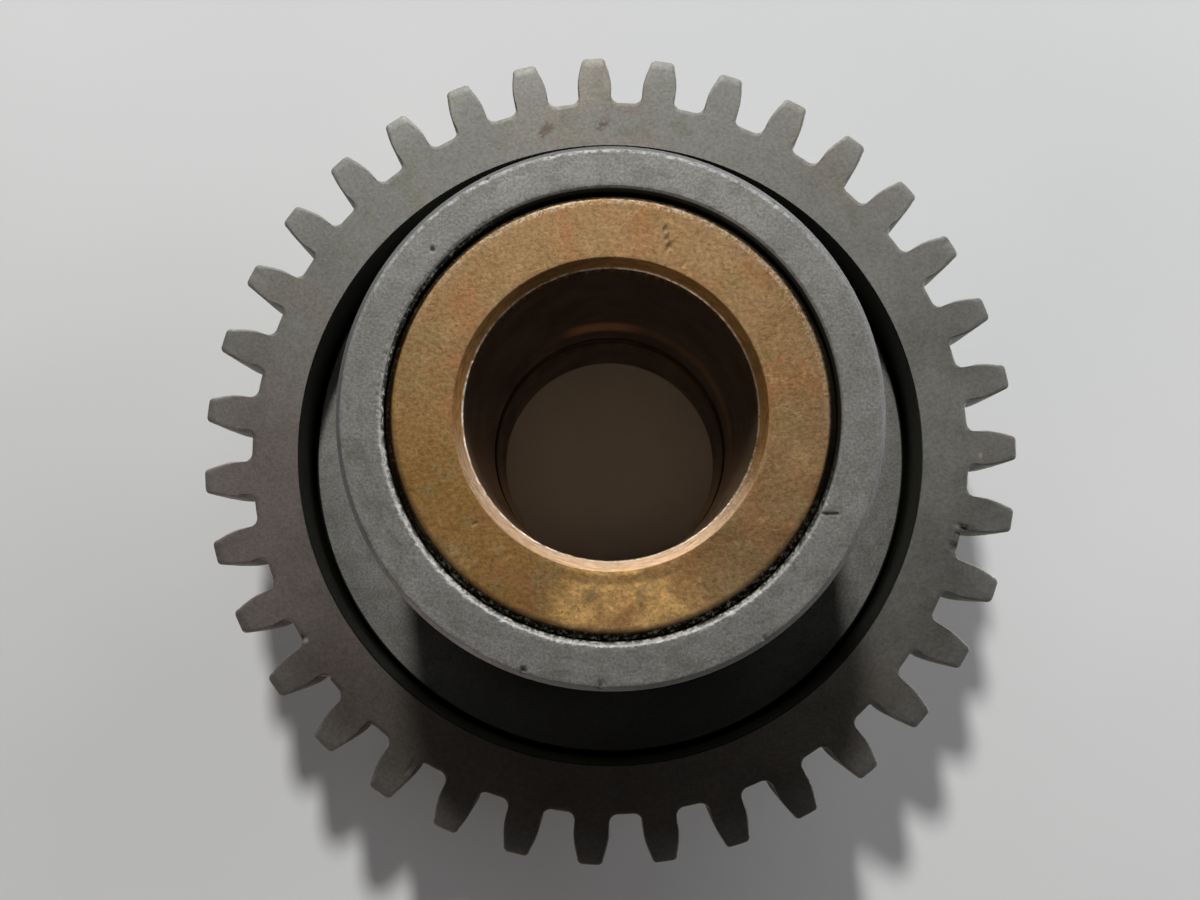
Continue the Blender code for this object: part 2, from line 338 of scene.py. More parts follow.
def make_ring_mesh():
    outline = tooth_outline()
    count = len(outline)
    loops = []
    for step in range(EDGE_STEPS + 1):
        bend = math.pi / 2 * step / EDGE_STEPS
        sunk = EDGE_BREAK * (1 - math.sin(bend))
        height = TEETH_REAR + EDGE_BREAK * (1 - math.cos(bend))
        loops.append([(p.x, p.y, height) for p in inset(outline, sunk)])
    low = TEETH_REAR + EDGE_BREAK
    high = RING_FRONT - EDGE_BREAK
    for row in range(1, WIDTH_ROWS):
        height = low + (high - low) * row / WIDTH_ROWS
        loops.append([(p.x, p.y, height) for p in outline])
    for step in range(EDGE_STEPS + 1):
        bend = math.pi / 2 * step / EDGE_STEPS
        sunk = EDGE_BREAK * (1 - math.cos(bend))
        height = high + EDGE_BREAK * math.sin(bend)
        loops.append([(p.x, p.y, height) for p in inset(outline, sunk)])

    face_edge = loops[-1]
    bore_corner = RIM_BORE_RADIUS + EDGE_BREAK
    turns = [2 * math.pi * (step + 0.5) / count - math.pi / TOOTH_COUNT for step in range(count)]
    for row in range(1, FACE_ROWS + 1):
        share = row / FACE_ROWS
        loop = []
        for turn, (x, y, _) in zip(turns, face_edge):
            inner = Vector((bore_corner * math.cos(turn), bore_corner * math.sin(turn)))
            spot = Vector((x, y)).lerp(inner, share)
            loop.append((spot.x, spot.y, RING_FRONT))
        loops.append(loop)

    bore = round_corners((
        (RIM_BORE_RADIUS, RING_FRONT - EDGE_BREAK, 0.1 * MM),
        (RIM_BORE_RADIUS, WEB_FRONT, 0.0),
        (HUB_RADIUS + 0.3 * MM, WEB_FRONT, 0.2 * MM),
        (HUB_RADIUS + 0.3 * MM, WEB_REAR, 0.3 * MM),
        (RIM_RADIUS - OUTER_CHAMFER, WEB_REAR, 0.3 * MM),
        (RIM_RADIUS, WEB_REAR + OUTER_CHAMFER, 0.3 * MM),
        (RIM_RADIUS, TEETH_REAR, 0.0),
    ))
    for radius, height in bore:
        loops.append([(radius * math.cos(turn), radius * math.sin(turn), height) for turn in turns])

    vertices = []
    faces = []
    for loop in loops:
        vertices.extend(tooth_wear(Vector(point)) for point in loop)
    for row in range(len(loops)):
        after = (row + 1) % len(loops)
        faces.extend(join_loops(row * count, after * count, count))
    return finish_mesh("toothed_ring_finish", vertices, faces)


# ---------------- hub

HUB_SEGMENTS = 1080
EDGE_REACH = 0.55 * MM
HUB_WEAR_DEPTH = 1.6 * MM
COARSE_BITES = 1300
FINE_BITES = 3900
MOUTH_WEAR = 0.13 * MM
MOUTH_WEAR_DOWN = 0.1 * MM
RIM_WEAR = 0.05 * MM

# Dents in the hub's front: (radius, degrees, size, depth) in millimetres
HUB_MARKS = (
    (26.9, 137.6, 0.32, 0.2), (29.5, -108.3, 0.4, 0.3), (29.6, -91.8, 0.5, 0.35),
    (29.7, 52.0, 0.35, 0.2), (29.6, 118.0, 0.35, 0.2), (29.7, 103.0, 0.3, 0.2),
    (29.7, -56.0, 0.35, 0.2),
)

# A short scratch that starts at the mouth: (radius, degrees), and the turns in radians it lies between
SCRATCH_TURNS = (-0.55, -0.35)
SCRATCH_WIDTH = 0.2 * MM
SCRATCH_DEPTH = 0.07 * MM
SCRATCH = ((25.1 * MM, -26.0), (26.0 * MM, -25.4), (27.0 * MM, -24.3))


def ragged_share(turn):
    """How torn the mouth's edge is: most at the upper left and along the bottom."""
    left = max(0.0, math.cos(turn - math.radians(150))) ** 2
    bottom = max(0.0, math.cos(turn - math.radians(-85))) ** 2
    everywhere = 0.2
    return min(1.0, everywhere + left + bottom)


def torn_edge(point, radius, edge_radius, edge_height):
    """Uneven bites along a turned edge, which fade within EDGE_REACH of it."""
    away = math.hypot(radius - edge_radius, point.z - edge_height)
    share = max(0.0, 1 - away / EDGE_REACH)
    bites = noise.noise(point * COARSE_BITES) + 0.9 * noise.noise(point * FINE_BITES)
    return share * bites


def scratch_depth(point):
    """A narrow groove along the scratch."""
    depth = 0.0
    ends = [polar(radius, degrees, HUB_FRONT) for radius, degrees in SCRATCH]
    for start, end in zip(ends, ends[1:]):
        along = end - start
        share = min(1.0, max(0.0, (point - start).dot(along) / along.length_squared))
        depth = max(depth, dent(point, start + along * share, SCRATCH_WIDTH, SCRATCH_DEPTH))
    return depth


def hub_wear(point, radius, turn):
    """Dents and a scratch in the front end, and its two edges torn a little."""
    worn = point.copy()
    if point.z < HUB_FRONT - HUB_WEAR_DEPTH:
        return worn
    worn.z -= sink(point, HUB_MARKS, HUB_FRONT)
    signed_turn = turn - 2 * math.pi * (turn > math.pi)
    if SCRATCH_TURNS[0] < signed_turn < SCRATCH_TURNS[1]:
        worn.z -= scratch_depth(point)
    mouth = torn_edge(point, radius, SEAT_RADIUS + MOUTH_CHAMFER, HUB_FRONT) * ragged_share(turn)
    worn.xy *= 1 + MOUTH_WEAR * mouth / radius
    worn.z -= abs(mouth) * MOUTH_WEAR_DOWN
    rim = torn_edge(point, radius, HUB_RADIUS - 0.5 * FRONT_CHAMFER, HUB_FRONT - 0.5 * FRONT_CHAMFER)
    worn.xy *= 1 - RIM_WEAR * abs(rim) / radius
    return worn


def fastener_places(count, start):
    places = []
    for step in range(count):
        turn = start + 2 * math.pi * step / count
        places.append((BOLT_CIRCLE_RADIUS * math.cos(turn), BOLT_CIRCLE_RADIUS * math.sin(turn)))
    return places


def drill_fastener_holes(mesh):
    """Eight holes for the bolts and two for the dowels, from behind."""
    rear = WEB_REAR - 1 * MM
    bolts = fastener_places(BOLT_COUNT, math.pi / BOLT_COUNT)
    dowels = fastener_places(DOWEL_COUNT, 0.0)
    mesh = drill(mesh, BOLT_HOLE_RADIUS, bolts, rear, BLIND_HOLE_END)
    return drill(mesh, DOWEL_HOLE_RADIUS, dowels, rear, BLIND_HOLE_END)


def make_hub_mesh():
    mouth_radius = SEAT_RADIUS + MOUTH_CHAMFER
    outline = round_corners((
        (SEAT_RADIUS, HUB_REAR + MOUTH_CHAMFER, 0.3 * MM),
        (mouth_radius, HUB_REAR, 0.2 * MM),
        (HUB_RADIUS - OUTER_CHAMFER, HUB_REAR, 0.4 * MM),
        (HUB_RADIUS, HUB_REAR + OUTER_CHAMFER, 0.4 * MM),
        (HUB_RADIUS, FLANGE_REAR, 0.0),
        (FLANGE_RADIUS, FLANGE_REAR, 0.4 * MM),
        (FLANGE_RADIUS, FLANGE_FRONT, 0.35 * MM),
        (HUB_RADIUS, FLANGE_FRONT, 0.8 * MM),
        (HUB_RADIUS, HUB_FRONT - FRONT_CHAMFER, 0.4 * MM),
        (HUB_RADIUS - FRONT_CHAMFER, HUB_FRONT, 0.4 * MM),
        (mouth_radius, HUB_FRONT, 0.25 * MM),
        (SEAT_RADIUS, HUB_FRONT - MOUTH_CHAMFER, 0.25 * MM),
        (SEAT_RADIUS, LAND_FRONT, 0.0),
        (LAND_RADIUS, LAND_FRONT, 0.15 * MM),
        (LAND_RADIUS, LAND_REAR, 0.15 * MM),
        (SEAT_RADIUS, LAND_REAR, 0.0),
    ))
    outline = divide_outline(outline, HUB_FRONT - 1.3 * MM, 0.28 * MM, 5 * MM)
    return turned_mesh("flanged_hub_finish", outline, HUB_SEGMENTS, hub_wear)


# ---------------- bushes

FRONT_BUSH_SEGMENTS = 900
REAR_BUSH_SEGMENTS = 360
BUSH_CHAMFER = 0.8 * MM
BUSH_WEAR_DEPTH = 2.0 * MM
BUSH_RIM_WEAR = 0.09 * MM
BUSH_RIM_WEAR_DOWN = 0.06 * MM
BUSH_MOUTH_WEAR = 0.1 * MM

# Pits in the front face of each bush: (radius, degrees, size, depth) in millimetres
BUSH_MARKS = (
    (21.6, 73.6, 0.34, 0.16), (20.7, 72.4, 0.28, 0.14), (19.8, 70.8, 0.36, 0.16),
    (18.4, 64.0, 0.26, 0.12), (21.8, -62.0, 0.28, 0.12), (19.2, -140.0, 0.3, 0.12),
)


def bush_wear(top, point, radius):
    """Pits in the face, bites along its outer edge and a slightly uneven mouth."""
    worn = point.copy()
    if point.z < top - BUSH_WEAR_DEPTH:
        return worn
    worn.z -= sink(point, BUSH_MARKS, top)
    rim = torn_edge(point, radius, BUSH_RADIUS - 0.5 * BUSH_CHAMFER, top - 0.5 * BUSH_CHAMFER)
    worn.xy *= 1 - BUSH_RIM_WEAR * abs(rim) / radius
    worn.z -= BUSH_RIM_WEAR_DOWN * abs(rim)
    mouth = torn_edge(point, radius, SHAFT_BORE_RADIUS, top - BORE_CHAMFER_DEPTH)
    worn.xy *= 1 + BUSH_MOUTH_WEAR * abs(mouth) / radius
    return worn


def make_bush_mesh(name, rear, front, segments, joint_in_front):
    """A bush, with a large chamfer at its outer end and a small one where it faces the other bush."""
    outer = (BORE_CHAMFER_WIDTH, BORE_CHAMFER_DEPTH)
    joint = (JOINT_CHAMFER, JOINT_CHAMFER)
    rear_width, rear_depth = outer if joint_in_front else joint
    front_width, front_depth = joint if joint_in_front else outer
    outline = round_corners((
        (SHAFT_BORE_RADIUS, rear + rear_depth, 0.25 * MM),
        (SHAFT_BORE_RADIUS + rear_width, rear, 0.35 * MM),
        (BUSH_RADIUS - BUSH_CHAMFER, rear, 0.4 * MM),
        (BUSH_RADIUS, rear + BUSH_CHAMFER, 0.4 * MM),
        (BUSH_RADIUS, front - BUSH_CHAMFER, 0.4 * MM),
        (BUSH_RADIUS - BUSH_CHAMFER, front, 0.4 * MM),
        (SHAFT_BORE_RADIUS + front_width, front, 0.35 * MM),
        (SHAFT_BORE_RADIUS, front - front_depth, 0.25 * MM),
    ))
    outline = divide_outline(outline, front - 1.3 * MM, 0.35 * MM, 4 * MM)

    def wear(point, radius, turn):
        return bush_wear(front, point, radius)

    return turned_mesh(name, outline, segments, wear)


# ---------------- fasteners

FASTENER_SEGMENTS = 48
CORNER_REACH = 1.13
THREAD_PROFILE = ((2.95 * MM, 0.0), (2.55 * MM, 0.4), (2.55 * MM, 0.55), (2.95 * MM, 0.9))


def stacked_mesh(name, loops):
    """A solid through loops of the same count, closed at both ends."""
    count = len(loops[0])
    vertices = [point for loop in loops for point in loop]
    faces = []
    for row in range(len(loops) - 1):
        faces.extend(join_loops(row * count, (row + 1) * count, count))
    faces.append(tuple(range(count)))
    faces.append(tuple(range(len(vertices) - count, len(vertices))))
    return finish_mesh(name, vertices, faces, FASTENER_SHARP_DEGREES)


def ring_loop(radius, height):
    turns = [2 * math.pi * step / FASTENER_SEGMENTS for step in range(FASTENER_SEGMENTS)]
    return [(radius * math.cos(turn), radius * math.sin(turn), height) for turn in turns]


def hexagon_loop(height, rise):
    """The bolt head's hexagon. Its corners are slightly rounded and lie higher than its sides by rise."""
    points = []
    side = BOLT_HEAD_ACROSS / 2
    for step in range(FASTENER_SEGMENTS):
        turn = 2 * math.pi * step / FASTENER_SEGMENTS
        from_middle = (turn + math.pi / 6) % (math.pi / 3) - math.pi / 6
        radius = min(side / math.cos(from_middle), side * CORNER_REACH)
        corner_share = (1 / math.cos(from_middle) - 1) / (1 / math.cos(math.pi / 6) - 1)
        points.append((radius * math.cos(turn), radius * math.sin(turn), height + rise * corner_share))
    return points


def make_bolt_mesh(rear, front):
    """A hexagon bolt with a washer face under its head and a thread drawn as plain grooves."""
    head_front = rear + BOLT_HEAD_HEIGHT
    loops = [
        ring_loop(1.2 * MM, rear + 0.25 * MM),
        ring_loop(2.6 * MM, rear + 0.22 * MM),
        ring_loop(3.0 * MM, rear + 0.02 * MM),
        ring_loop(4.45 * MM, rear),
        ring_loop(4.7 * MM, rear + 0.05 * MM),
        hexagon_loop(rear + 0.16 * MM, 0.62 * MM),
        hexagon_loop(rear + 0.3 * MM, 0.6 * MM),
        hexagon_loop(head_front - 0.4 * MM, 0.0),
        hexagon_loop(head_front - 0.15 * MM, 0.0),
        ring_loop(4.75 * MM, head_front - 0.12 * MM),
        ring_loop(4.7 * MM, head_front),
        ring_loop(BOLT_RADIUS + 0.2 * MM, head_front),
        ring_loop(BOLT_RADIUS, head_front + 0.2 * MM),
    ]
    height = head_front + 1.5 * MM
    while height < front - 1.4 * MM:
        for radius, share in THREAD_PROFILE:
            loops.append(ring_loop(radius, height + share * THREAD_PITCH))
        height += THREAD_PITCH
    loops.append(ring_loop(2.4 * MM, front))
    return stacked_mesh("ring_bolt_finish", loops)


def make_washer_mesh(low, high):
    """A spring washer with a square wire, cut through on a slant."""
    inner = WASHER_INNER_RADIUS
    outer = WASHER_OUTER_RADIUS
    ease = 0.15 * MM
    corners = ((inner, low, ease), (outer, low, ease), (outer, high, ease), (inner, high, ease))
    wire = round_corners(corners, 3)
    middle = (low + high) / 2
    loops = []
    steps = 72
    split = math.radians(12)
    slant_per_height = 0.12 / MM
    for step in range(steps + 1):
        loop = []
        for radius, height in wire:
            slant = (height - middle) * slant_per_height
            turn = split / 2 + (2 * math.pi - split) * step / steps + slant * 0.9
            loop.append((radius * math.cos(turn), radius * math.sin(turn), height))
        loops.append(loop)
    return stacked_mesh("spring_washer_finish", loops)


def make_dowel_mesh(low, high):
    """A plain pin with a small centre hole at its rear end."""
    ease = 0.4 * MM
    radius = DOWEL_RADIUS
    loops = [
        ring_loop(0.5 * MM, low + 0.5 * MM),
        ring_loop(0.9 * MM, low),
        ring_loop(radius - ease, low),
        ring_loop(radius - 0.1 * MM, low + 0.22 * MM),
        ring_loop(radius, low + ease + 0.1 * MM),
        ring_loop(radius, high - ease),
        ring_loop(radius - ease, high),
    ]
    return stacked_mesh("dowel_finish", loops)


# ---------------- materials

# The share of a spot's or a stroke's reach with full strength
SPOT_CORE = 0.35
STROKE_CORE = 0.3


class Paint:
    """One material and the helpers that add its nodes."""

    def __init__(self, name, metallic=1.0):
        self.material = bpy.data.materials.new(name)
        self.material.use_nodes = True
        self.tree = self.material.node_tree
        self.shader = self.tree.nodes["Principled BSDF"]
        self.shader.inputs["Metallic"].default_value = metallic
        self.place = self.node("ShaderNodeTexCoord").outputs["Object"]
        parts = self.node("ShaderNodeSeparateXYZ", Vector=self.place)
        self.x, self.y, self.height = parts.outputs
        self.radius = self.sum_root(self.x, self.y)

    def node(self, kind, settings=None, **inputs):
        made = self.tree.nodes.new(kind)
        for key, value in (settings or {}).items():
            setattr(made, key, value)
        for key, value in inputs.items():
            socket = made.inputs[key.replace("_", " ")]
            self.feed(socket, value)
        return made

    def feed(self, socket, value):
        if isinstance(value, bpy.types.NodeSocket):
            self.tree.links.new(value, socket)
        else:
            socket.default_value = value

    def maths(self, operation, first, second=0.0):
        made = self.node("ShaderNodeMath", {"operation": operation})
        for socket, value in zip(made.inputs, (first, second)):
            self.feed(socket, value)
        return made.outputs[0]

    def sum_root(self, first, second):
        first_square = self.maths("MULTIPLY", first, first)
        second_square = self.maths("MULTIPLY", second, second)
        return self.maths("SQRT", self.maths("ADD", first_square, second_square))

    def noise(self, scale, detail=3.0, rough=0.55, place=None):
        made = self.node("ShaderNodeTexNoise", Vector=place or self.place, Scale=scale, Detail=detail,
                         Roughness=rough)
        return made.outputs["Fac"]

    def turned_place(self, across, along):
        """Coordinates for marks that run round the axis: fine across the profile, long along the turn."""
        made = self.node("ShaderNodeCombineXYZ")
        cosine = self.maths("DIVIDE", self.x, self.radius)
        sine = self.maths("DIVIDE", self.y, self.radius)
        profile = self.maths("ADD", self.radius, self.height)
        for socket, value, scale in zip(made.inputs, (cosine, sine, profile), (along, along, across)):
            self.feed(socket, self.maths("MULTIPLY", value, scale))
        return made.outputs[0]

    def ramp(self, factor, *stops):
        """Colours or grey values along a factor: (position, value) stops."""
        made = self.node("ShaderNodeValToRGB", Fac=factor)
        band = made.color_ramp.elements
        while len(band) < len(stops):
            band.new(0.5)
        for element, (position, value) in zip(band, stops):
            element.position = position
            colour = value if isinstance(value, tuple) else (value, value, value)
            element.color = (*colour, 1.0)
        return made.outputs["Color"]

    def span(self, value, low, high, out_low=0.0, out_high=1.0):
        """A smooth step from out_low at low to out_high at high."""
        made = self.node("ShaderNodeMapRange", {"interpolation_type": "SMOOTHSTEP"}, Value=value,
                         From_Min=low, From_Max=high, To_Min=out_low, To_Max=out_high)
        return made.outputs["Result"]

    def mix(self, factor, first, second, blend="MIX"):
        made = self.node("ShaderNodeMix", {"data_type": "RGBA", "blend_type": blend})
        self.feed(made.inputs["Factor"], factor)
        for socket, value in ((made.inputs[6], first), (made.inputs[7], second)):
            self.feed(socket, (*value, 1.0) if isinstance(value, tuple) else value)
        return made.outputs[2]

    def specks(self, scale, low, high):
        """Small irregular flecks, 1 inside them and 0 between them."""
        return self.span(self.noise(scale, 3, 0.7), low, high)

    def product(self, *factors):
        result = factors[0]
        for factor in factors[1:]:
            result = self.maths("MULTIPLY", result, factor)
        return result

    def facing(self, degrees, low, high):
        """1 on the side of the piece that lies in a direction from the axis, 0 well away from it."""
        turn = math.radians(degrees)
        along = self.maths("ADD", self.maths("MULTIPLY", self.x, math.cos(turn)),
                           self.maths("MULTIPLY", self.y, math.sin(turn)))
        return self.span(self.maths("DIVIDE", along, self.radius), low, high)

    def spot(self, centre, size):
        """1 inside a soft-edged round spot, 0 outside."""
        away = self.node("ShaderNodeVectorMath", {"operation": "DISTANCE"})
        self.feed(away.inputs[0], self.place)
        self.feed(away.inputs[1], centre)
        return self.span(away.outputs["Value"], size * SPOT_CORE, size, 1.0, 0.0)

    def stroke(self, start, end, width):
        """1 along a soft-edged straight line between two points, 0 outside."""
        along = end - start
        from_start = self.node("ShaderNodeVectorMath", {"operation": "SUBTRACT"})
        self.feed(from_start.inputs[0], self.place)
        self.feed(from_start.inputs[1], start)
        dot = self.node("ShaderNodeVectorMath", {"operation": "DOT_PRODUCT"})
        self.feed(dot.inputs[0], from_start.outputs["Vector"])
        self.feed(dot.inputs[1], along / along.length_squared)
        share = self.maths("MINIMUM", self.maths("MAXIMUM", dot.outputs["Value"], 0.0), 1.0)
        reached = self.node("ShaderNodeVectorMath", {"operation": "SCALE"})
        self.feed(reached.inputs[0], along)
        self.feed(reached.inputs["Scale"], share)
        away = self.node("ShaderNodeVectorMath", {"operation": "DISTANCE"})
        self.feed(away.inputs[0], from_start.outputs["Vector"])
        self.feed(away.inputs[1], reached.outputs["Vector"])
        return self.span(away.outputs["Value"], width * STROKE_CORE, width, 1.0, 0.0)

    def band(self, value, low, high, soft):
        """1 between two limits, fading over a soft distance outside them."""
        above = self.span(value, low - soft, low)
        below = self.span(value, high, high + soft, 1.0, 0.0)
        return self.product(above, below)

    def mark(self, radius, degrees, height, size):
        """A spot whose place is given round the axis, with its radius and size in millimetres."""
        return self.spot(polar(radius * MM, degrees, height), size * MM)

    def bump(self, height, strength, distance, under=None):
        made = self.node("ShaderNodeBump", Strength=strength, Distance=distance, Height=height)
        if under is not None:
            self.feed(made.inputs["Normal"], under)
        return made.outputs["Normal"]

    def finish(self, colour, roughness, normal):
        self.feed(self.shader.inputs["Base Color"], colour)
        self.feed(self.shader.inputs["Roughness"], roughness)
        self.feed(self.shader.inputs["Normal"], normal)
        return self.material


# Marks in the paint: (radius in millimetres, degrees, size in millimetres)
RING_STAINS = ((46.1, 101.2, 1.3), (45.3, 102.4, 0.9), (45.6, 91.8, 1.1), (46.2, 90.9, 0.9))
RING_NICKS = ((49.2, -12.9, 0.9), (48.6, -14.2, 0.7), (48.4, -16.1, 0.8), (48.9, -148.0, 0.7),
              (49.4, -130.4, 0.9))
RING_CHIPS = ((48.6, -147.2, 0.55), (48.8, -140.2, 0.4), (50.6, -1.2, 0.5))
HUB_PITS = ((26.9, 137.6, 0.42), (29.4, -108.3, 0.6))
BUSH_PITS = ((21.6, 73.6, 0.6), (20.7, 72.4, 0.5), (19.8, 70.8, 0.6))


def ring_steel():
    """Matt, dark, slightly warm steel with cloudy stains, a painted warm light tint on the lower left, and
    painted shade on the near side and in the recess.
    """
    paint = Paint("ring_steel_finish")
    clouds = paint.noise(95, 5, 0.6)
    colour = paint.ramp(clouds, (0.3, (0.160, 0.157, 0.142)), (0.5, (0.195, 0.192, 0.176)),
                        (0.72, (0.235, 0.232, 0.216)))
    warm = paint.span(paint.noise(60, 3, 0.5), 0.5, 0.68, 0.0, 0.75)
    colour = paint.mix(warm, colour, (0.215, 0.186, 0.158))
    olive = paint.span(paint.noise(230, 3, 0.5), 0.54, 0.68, 0.0, 0.55)
    colour = paint.mix(olive, colour, (0.170, 0.178, 0.138))
    # Painted warm light tint on the lower left side, where the warm glow falls.
    warm_light_tint = paint.product(paint.facing(-150, 0.55, 0.95), 0.6)
    colour = paint.mix(warm_light_tint, colour, (0.190, 0.148, 0.138))
    # Painted shade on the near side, where the hub's shadow falls.
    colour = paint.mix(paint.facing(-86, 0.3, 0.95), colour, (0.110, 0.098, 0.086))
    tips = paint.span(paint.radius, 50 * MM, TIP_RADIUS, 0.0, 0.4)
    colour = paint.mix(tips, colour, (0.250, 0.250, 0.238))
    grain = paint.noise(2400, 4, 0.7)
    colour = paint.mix(0.6, colour, paint.ramp(grain, (0.28, 0.6), (0.72, 1.35)), "MULTIPLY")
    ragged = paint.specks(1500, 0.36, 0.58)
    for radius, degrees, size in RING_STAINS:
        stain = paint.product(paint.mark(radius, degrees, RING_FRONT, size), ragged, 0.6)
        colour = paint.mix(stain, colour, (0.085, 0.055, 0.032))
    for radius, degrees, size in RING_NICKS:
        nick = paint.product(paint.mark(radius, degrees, RING_FRONT, size), ragged, 0.75)
        colour = paint.mix(nick, colour, (0.030, 0.028, 0.022))
    for radius, degrees, size in RING_CHIPS:
        chip = paint.product(paint.mark(radius, degrees, RING_FRONT, size), ragged, 0.7)
        colour = paint.mix(chip, colour, (0.400, 0.390, 0.360))
    # Painted shade, with some oil, darkening the surfaces inside the recess.
    recess_edge = RIM_BORE_RADIUS + 0.03 * MM
    recess = paint.span(paint.radius, recess_edge, RIM_BORE_RADIUS + 0.12 * MM, 1.0, 0.0)
    inside = paint.span(paint.height, WEB_REAR + 1 * MM, WEB_REAR + 3 * MM)
    colour = paint.mix(paint.product(recess, inside), colour, (0.030, 0.032, 0.026))
    roughness = paint.span(clouds, 0.3, 0.7, 0.54, 0.66)
    turned = paint.noise(1.0, 2, 0.6, paint.turned_place(2400, 3.0))
    normal = paint.bump(grain, 0.35, 0.00006)
    normal = paint.bump(turned, 0.12, 0.00004, normal)
    return paint.finish(colour, roughness, normal)


def hub_steel():
    """Cooler turned steel with a fine grain and a dark rub, worn streaks with painted highlights on the
    front end's lit edges, and painted shade in the mouth, along the outer edge, on the flange's near side
    and at the gap round the flange.
    """
    paint = Paint("hub_steel_finish")
    clouds = paint.noise(130, 4, 0.6)
    colour = paint.ramp(clouds, (0.3, (0.245, 0.242, 0.228)), (0.7, (0.310, 0.308, 0.294)))
    mottle = paint.span(paint.noise(420, 3, 0.6), 0.48, 0.64, 0.0, 0.6)
    colour = paint.mix(mottle, colour, (0.215, 0.215, 0.190))
    rubs = paint.noise(1.0, 3, 0.6, paint.turned_place(1500, 14.0))
    colour = paint.mix(0.35, colour, paint.ramp(rubs, (0.3, 0.7), (0.7, 1.25)), "MULTIPLY")
    grain = paint.noise(2900, 4, 0.75)
    colour = paint.mix(0.75, colour, paint.ramp(grain, (0.3, 0.55), (0.7, 1.5)), "MULTIPLY")
    top = paint.span(paint.height, HUB_FRONT - 1.4 * MM, HUB_FRONT - 1.1 * MM)
    smear = paint.noise(1.0, 4, 0.65, paint.turned_place(900, 9.0))
    dark_rub = paint.product(top, paint.facing(-166, 0.88, 0.985), paint.span(smear, 0.44, 0.66), 0.42)
    colour = paint.mix(dark_rub, colour, (0.130, 0.130, 0.096))
    for radius, degrees, size in HUB_PITS:
        pit = paint.product(paint.mark(radius, degrees, HUB_FRONT, size), 0.7)
        colour = paint.mix(pit, colour, (0.04, 0.04, 0.04))
    ends = [polar(radius, degrees, HUB_FRONT) for radius, degrees in SCRATCH]
    for start, end in zip(ends, ends[1:]):
        scratch = paint.product(paint.stroke(start, end, 0.24 * MM), 0.85)
        colour = paint.mix(scratch, colour, (0.025, 0.025, 0.024))
    # Painted shade in the groove of the mouth's chamfer.
    chamfer = paint.span(paint.radius, SEAT_RADIUS + 0.2 * MM, SEAT_RADIUS + 0.4 * MM, 1.0, 0.0)
    colour = paint.mix(chamfer, colour, (0.022, 0.023, 0.018))
    # Worn streaks with a painted highlight along the mouth's lower side, which faces the light.
    edge = paint.band(paint.radius, SEAT_RADIUS + 0.2 * MM, SEAT_RADIUS + 0.55 * MM, 0.2 * MM)
    streaks = paint.maths("ADD", paint.product(paint.specks(1900, 0.42, 0.6), 0.6), 0.25)
    scuffs_and_highlight = paint.product(top, edge, paint.facing(-110, -0.1, 0.6), streaks)
    colour = paint.mix(scuffs_and_highlight, colour, (0.400, 0.396, 0.385))
    inner = paint.span(paint.radius, SEAT_RADIUS + 0.15 * MM, SEAT_RADIUS + 0.3 * MM, 1.0, 0.0)
    inner = paint.product(top, inner)
    # Painted highlight flecks on the mouth's lit lower side.
    flecks = paint.product(inner, paint.facing(-85, 0.2, 0.8), paint.specks(1900, 0.48, 0.6))
    colour = paint.mix(flecks, colour, (0.330, 0.326, 0.290))
    old_flecks = paint.product(inner, paint.facing(168, 0.6, 0.95), paint.specks(1900, 0.5, 0.62))
    colour = paint.mix(old_flecks, colour, (0.330, 0.326, 0.300))
    # Painted shade along the outer edge of the front end, which dims its glint.
    rim = paint.span(paint.radius, HUB_RADIUS - 0.6 * MM, HUB_RADIUS - 0.45 * MM)
    colour = paint.mix(paint.product(top, rim, 0.75), colour, (0.100, 0.098, 0.104))
    # Painted highlight flecks on the outer edge's upper side, which faces the light.
    bright = paint.band(paint.radius, HUB_RADIUS - 0.85 * MM, HUB_RADIUS - 0.7 * MM, 0.15 * MM)
    bright = paint.product(top, bright, paint.facing(95, 0.2, 0.9), paint.specks(1300, 0.4, 0.62))
    colour = paint.mix(bright, colour, (0.560, 0.560, 0.570))
    # Painted shade on the flange's near side, where the hub's shadow falls.
    flange = paint.span(paint.radius, HUB_RADIUS, HUB_RADIUS + 0.5 * MM)
    near_side_shade = paint.product(flange, paint.facing(-86, 0.6, 0.95), 0.7)
    colour = paint.mix(near_side_shade, colour, (0.120, 0.116, 0.108))
    # Painted shade, with some oil, at the flange's outer edge by the gap round it.
    gap = paint.span(paint.radius, FLANGE_RADIUS - 0.45 * MM, FLANGE_RADIUS - 0.3 * MM)
    colour = paint.mix(gap, colour, (0.022, 0.024, 0.019))
    roughness = paint.span(rubs, 0.3, 0.7, 0.62, 0.72)
    roughness = paint.maths("SUBTRACT", roughness, paint.product(scuffs_and_highlight, 0.1))
    normal = paint.bump(grain, 0.45, 0.00007)
    normal = paint.bump(rubs, 0.15, 0.00004, normal)
    return paint.finish(colour, roughness, normal)


